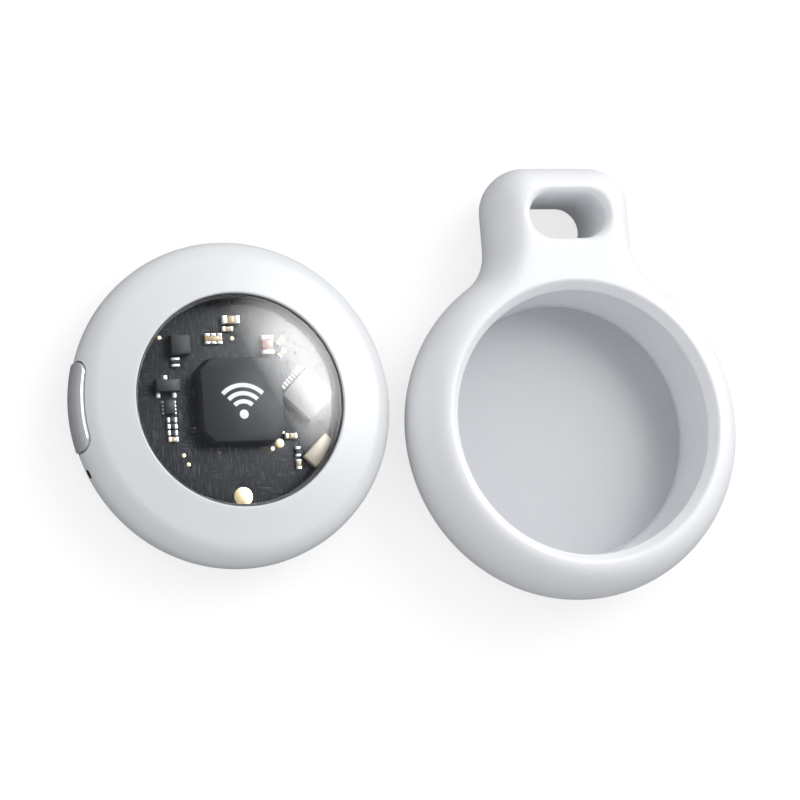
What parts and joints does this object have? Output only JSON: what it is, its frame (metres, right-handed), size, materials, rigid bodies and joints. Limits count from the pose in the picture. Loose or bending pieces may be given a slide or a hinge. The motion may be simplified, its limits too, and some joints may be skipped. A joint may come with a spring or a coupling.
{
  "type": "bluetooth tracker tag with loop holder",
  "caption": "Round tracker tag with a clear domed window over its circuit board, a side button and a bayonet battery door, beside its soft white loop holder.",
  "frame": {"origin": "centre of the tag's flat rear face", "axes": "+Z out of the window, +X from the tag's axis towards the holder beside it, +Y the way the holder's lug points"},
  "size_m": [0.0683, 0.0434, 0.0088],
  "materials": {
    "white_shell": "satin white moulded plastic",
    "clear_lens": "clear polished plastic",
    "black_adhesive": "matt black",
    "black_plastic": "fine matt black",
    "black_rubber": "matt",
    "silver_button": "satin silver paint",
    "bright_steel": "satin",
    "gold_plate": "bright gold plate",
    "tray_plastic": "matt",
    "board_mask": "satin dark solder mask with fine traces",
    "chip_black": "fine matt moulding",
    "tin": "bright tin",
    "pale_ceramic": "matt",
    "tan_ceramic": "satin",
    "red_ceramic": "satin",
    "copper": "bare copper",
    "brass_plate": "satin",
    "dark_mesh": "fine woven wire",
    "white_print": "matt white ink",
    "white_silicone": "satin white silicone"
  },
  "bodies": {
    "tag": {"front_housing": "white_shell", "rear_housing": "white_shell", "window_lens": "clear_lens", "lens_adhesive_ring": "black_adhesive", "window_bezel": "black_plastic", "switch_body": "black_plastic", "switch_cover": "bright_steel", "battery_can": "bright_steel", "battery_seal": "black_plastic", "battery_cap": "bright_steel", "positive_contact": "gold_plate", "negative_contact": "gold_plate", "battery_tray": "tray_plastic", "main_board": "board_mask", "main_processor": "chip_black", "processor_mark": "white_print", "memory_chip": "chip_black", "power_chip": "chip_black", "power_chip_legs": "tin", "sensor_chip": "chip_black", "sensor_chip_pads": "tin", "radio_can": "bright_steel", "chip_antenna": "pale_ceramic", "capacitor_bodies": "tan_ceramic", "resistor_bodies": "chip_black", "chip_terminals": "tin", "inductor": "red_ceramic", "inductor_terminals": "tin", "array_body": "tan_ceramic", "array_terminals": "tin", "test_pads": "gold_plate", "antenna_loop": "copper", "sounder_case": "black_plastic", "sounder_diaphragm": "brass_plate", "sound_mesh": "dark_mesh"},
    "button": {"side_button": "silver_button", "switch_plunger": "black_plastic"},
    "door": {"battery_door": "white_shell", "door_seal": "black_rubber"},
    "loop_holder": {"holder": "white_silicone"}
  },
  "joints": [
    {"name": "button_press", "type": "slide", "parent": "tag", "child": "button", "axis": [1, 0, 0], "range_m": [0, 0.0003], "stiffness_N_per_m": 3000},
    {"name": "door_twist", "type": "hinge", "parent": "tag", "child": "door", "pos_m": [0, 0, 0], "axis": [0, 0, 1], "range_deg": [0, 25]},
    {"name": "holder_slide", "type": "slide", "parent": "tag", "child": "loop_holder", "axis": [1, 0, 0], "range_m": [0, 0.04]}
  ]
}
